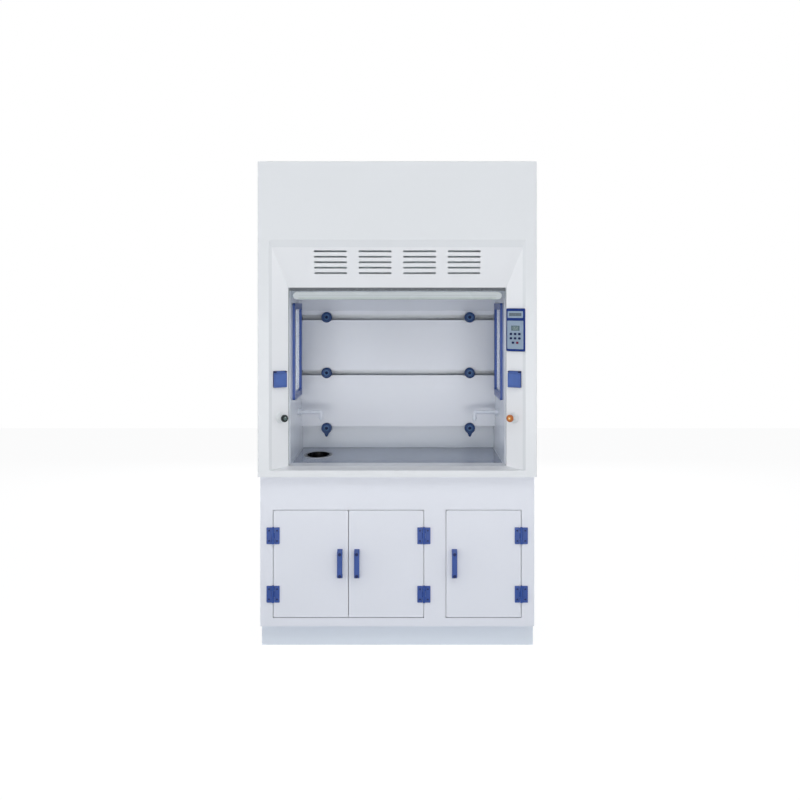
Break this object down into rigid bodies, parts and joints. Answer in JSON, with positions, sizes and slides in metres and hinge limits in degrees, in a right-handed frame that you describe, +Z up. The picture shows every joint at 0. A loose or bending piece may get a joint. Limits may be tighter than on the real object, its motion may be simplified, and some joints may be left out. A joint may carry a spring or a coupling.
{
  "type": "fume hood",
  "caption": "Welded polypropylene fume hood with a vertical sash, baffled chamber, cup sink, side windows, control panel and a vented storage base with hinged doors.",
  "frame": {"origin": "centre of the bounding box at floor level", "axes": "+Z up, +X to the user's right, +Y from the sash to the back"},
  "size_m": [1.256, 0.8041, 2.235],
  "materials": {
    "hood_polypropylene": "satin extruded sheet",
    "cabinet_polypropylene": "satin extruded sheet",
    "plinth_polypropylene": "satin extruded sheet",
    "chamber_polypropylene": "glossy sheet",
    "blue_polypropylene": "satin moulding",
    "worktop_resin": "glossy slab",
    "black_polypropylene": "satin moulding",
    "clear_glass": "clear",
    "lamp_enamel": "gloss enamel",
    "rail_polypropylene": "satin",
    "steel": "zinc plated",
    "pulley_plastic": "moulded",
    "belt_rubber": "moulded",
    "valve_polypropylene": "moulded",
    "dark_green_plastic": "moulded",
    "orange_plastic": "moulded",
    "keypad_grey": "printed film",
    "display_plastic": "tinted window",
    "key_grey": "moulded",
    "key_red": "moulded"
  },
  "bodies": {
    "cabinet": {"chamber_side_walls": "chamber_polypropylene", "chamber_shell": "chamber_polypropylene", "baffles": "chamber_polypropylene", "sill": "chamber_polypropylene", "sash_guides": "chamber_polypropylene", "front_sheet": "hood_polypropylene", "vent_facing": "hood_polypropylene", "facings": "hood_polypropylene", "hood_side_panels": "hood_polypropylene", "hood_top_panel": "hood_polypropylene", "hood_back_panel": "hood_polypropylene", "exhaust_collar": "hood_polypropylene", "base_carcass": "cabinet_polypropylene", "base_front_frame": "cabinet_polypropylene", "hinge_frame_leaves": "blue_polypropylene", "baffle_holders": "blue_polypropylene", "window_frames": "blue_polypropylene", "socket_bases": "blue_polypropylene", "control_bezel": "blue_polypropylene", "plinth": "plinth_polypropylene", "worktop": "worktop_resin", "cup_sink": "black_polypropylene", "sink_trap": "black_polypropylene", "window_panes": "clear_glass", "lamp_cover": "clear_glass", "lamp": "lamp_enamel", "pulley_brackets": "steel", "belts": "belt_rubber", "valve_bodies": "valve_polypropylene", "service_outlets": "valve_polypropylene", "control_faceplate": "keypad_grey", "control_display": "display_plastic"},
    "lower_sash": {"lower_sash_glass": "clear_glass", "sash_handle_rail": "rail_polypropylene", "lower_sash_carriers": "steel"},
    "upper_sash": {"upper_sash_glass": "clear_glass", "upper_sash_carriers": "steel"},
    "cross_shaft": {"drive_shaft": "steel"},
    "left_idler": {"idler_left": "pulley_plastic"},
    "right_idler": {"idler_right": "pulley_plastic"},
    "left_counterweight": {"counterweight_left": "steel"},
    "right_counterweight": {"counterweight_right": "steel"},
    "water_valve_knob": {"water_knob": "dark_green_plastic"},
    "gas_valve_knob": {"gas_knob": "orange_plastic"},
    "left_socket_flap": {"socket_cover_left": "blue_polypropylene"},
    "right_socket_flap": {"socket_cover_right": "blue_polypropylene"},
    "left_door": {"door_left": "cabinet_polypropylene", "door_fittings_left": "blue_polypropylene"},
    "middle_door": {"door_middle": "cabinet_polypropylene", "door_fittings_middle": "blue_polypropylene"},
    "right_door": {"door_right": "cabinet_polypropylene", "door_fittings_right": "blue_polypropylene"},
    "button_1": {"key_1": "key_grey"},
    "button_2": {"key_2": "key_grey"},
    "button_3": {"key_3": "key_grey"},
    "button_4": {"key_4": "key_grey"},
    "button_5": {"key_5": "key_grey"},
    "button_6": {"key_6": "key_grey"},
    "button_7": {"key_7": "key_grey"},
    "button_8": {"key_8": "key_red"}
  },
  "joints": [
    {"name": "left_door_hinge", "type": "hinge", "parent": "cabinet", "child": "left_door", "pos_m": [-0.56075, -0.35679, 0.383], "axis": [0, 0, -1], "range_deg": [0, 110]},
    {"name": "middle_door_hinge", "type": "hinge", "parent": "cabinet", "child": "middle_door", "pos_m": [0.11992, -0.35679, 0.383], "axis": [0, 0, 1], "range_deg": [0, 110]},
    {"name": "right_door_hinge", "type": "hinge", "parent": "cabinet", "child": "right_door", "pos_m": [0.55975, -0.35679, 0.383], "axis": [0, 0, 1], "range_deg": [0, 110]},
    {"name": "lower_sash_slide", "type": "slide", "parent": "cabinet", "child": "lower_sash", "axis": [0, 0, 1], "range_m": [-0.751, 0]},
    {"name": "upper_sash_slide", "type": "slide", "parent": "cabinet", "child": "upper_sash", "axis": [0, 0, 1], "range_m": [-0.3755, 0]},
    {"name": "cross_shaft_turn", "type": "hinge", "parent": "cabinet", "child": "cross_shaft", "pos_m": [0, -0.27049, 2.08], "axis": [1, 0, 0], "range_deg": [0, 1076]},
    {"name": "left_idler_turn", "type": "hinge", "parent": "cabinet", "child": "left_idler", "pos_m": [-0.54, -0.27049, 1.2], "axis": [1, 0, 0], "range_deg": [0, 1076]},
    {"name": "right_idler_turn", "type": "hinge", "parent": "cabinet", "child": "right_idler", "pos_m": [0.54, -0.27049, 1.2], "axis": [1, 0, 0], "range_deg": [0, 1076]},
    {"name": "left_counterweight_slide", "type": "slide", "parent": "cabinet", "child": "left_counterweight", "axis": [0, 0, 1], "range_m": [0, 0.751]},
    {"name": "right_counterweight_slide", "type": "slide", "parent": "cabinet", "child": "right_counterweight", "axis": [0, 0, 1], "range_m": [0, 0.751]},
    {"name": "water_valve_turn", "type": "hinge", "parent": "cabinet", "child": "water_valve_knob", "pos_m": [-0.50706, -0.382, 1.043], "axis": [0.6259, -0.7799, 0], "range_deg": [0, 270]},
    {"name": "gas_valve_turn", "type": "hinge", "parent": "cabinet", "child": "gas_valve_knob", "pos_m": [0.50706, -0.382, 1.043], "axis": [-0.6259, -0.7799, 0], "range_deg": [0, 90]},
    {"name": "left_socket_flap_hinge", "type": "hinge", "parent": "cabinet", "child": "left_socket_flap", "pos_m": [-0.5255, -0.36782, 1.2505], "axis": [-0.7799, -0.6259, 0], "range_deg": [0, 110]},
    {"name": "right_socket_flap_hinge", "type": "hinge", "parent": "cabinet", "child": "right_socket_flap", "pos_m": [0.5255, -0.36782, 1.2505], "axis": [-0.7799, 0.6259, 0], "range_deg": [0, 110]},
    {"name": "button_1_press", "type": "slide", "parent": "cabinet", "child": "button_1", "axis": [0.6259, 0.7799, 0], "range_m": [0, 0.0008], "stiffness_N_per_m": 400},
    {"name": "button_2_press", "type": "slide", "parent": "cabinet", "child": "button_2", "axis": [0.6259, 0.7799, 0], "range_m": [0, 0.0008], "stiffness_N_per_m": 400},
    {"name": "button_3_press", "type": "slide", "parent": "cabinet", "child": "button_3", "axis": [0.6259, 0.7799, 0], "range_m": [0, 0.0008], "stiffness_N_per_m": 400},
    {"name": "button_4_press", "type": "slide", "parent": "cabinet", "child": "button_4", "axis": [0.6259, 0.7799, 0], "range_m": [0, 0.0008], "stiffness_N_per_m": 400},
    {"name": "button_5_press", "type": "slide", "parent": "cabinet", "child": "button_5", "axis": [0.6259, 0.7799, 0], "range_m": [0, 0.0008], "stiffness_N_per_m": 400},
    {"name": "button_6_press", "type": "slide", "parent": "cabinet", "child": "button_6", "axis": [0.6259, 0.7799, 0], "range_m": [0, 0.0008], "stiffness_N_per_m": 400},
    {"name": "button_7_press", "type": "slide", "parent": "cabinet", "child": "button_7", "axis": [0.6259, 0.7799, 0], "range_m": [0, 0.0008], "stiffness_N_per_m": 400},
    {"name": "button_8_press", "type": "slide", "parent": "cabinet", "child": "button_8", "axis": [0.6259, 0.7799, 0], "range_m": [0, 0.0008], "stiffness_N_per_m": 400}
  ],
  "couplings": [
    {"joint": "upper_sash_slide", "follows": "lower_sash_slide", "ratio": 0.5},
    {"joint": "cross_shaft_turn", "follows": "lower_sash_slide", "rad_per_m": -25},
    {"joint": "left_idler_turn", "follows": "lower_sash_slide", "rad_per_m": -25},
    {"joint": "right_idler_turn", "follows": "lower_sash_slide", "rad_per_m": -25},
    {"joint": "left_counterweight_slide", "follows": "lower_sash_slide", "ratio": -1},
    {"joint": "right_counterweight_slide", "follows": "lower_sash_slide", "ratio": -1}
  ]
}
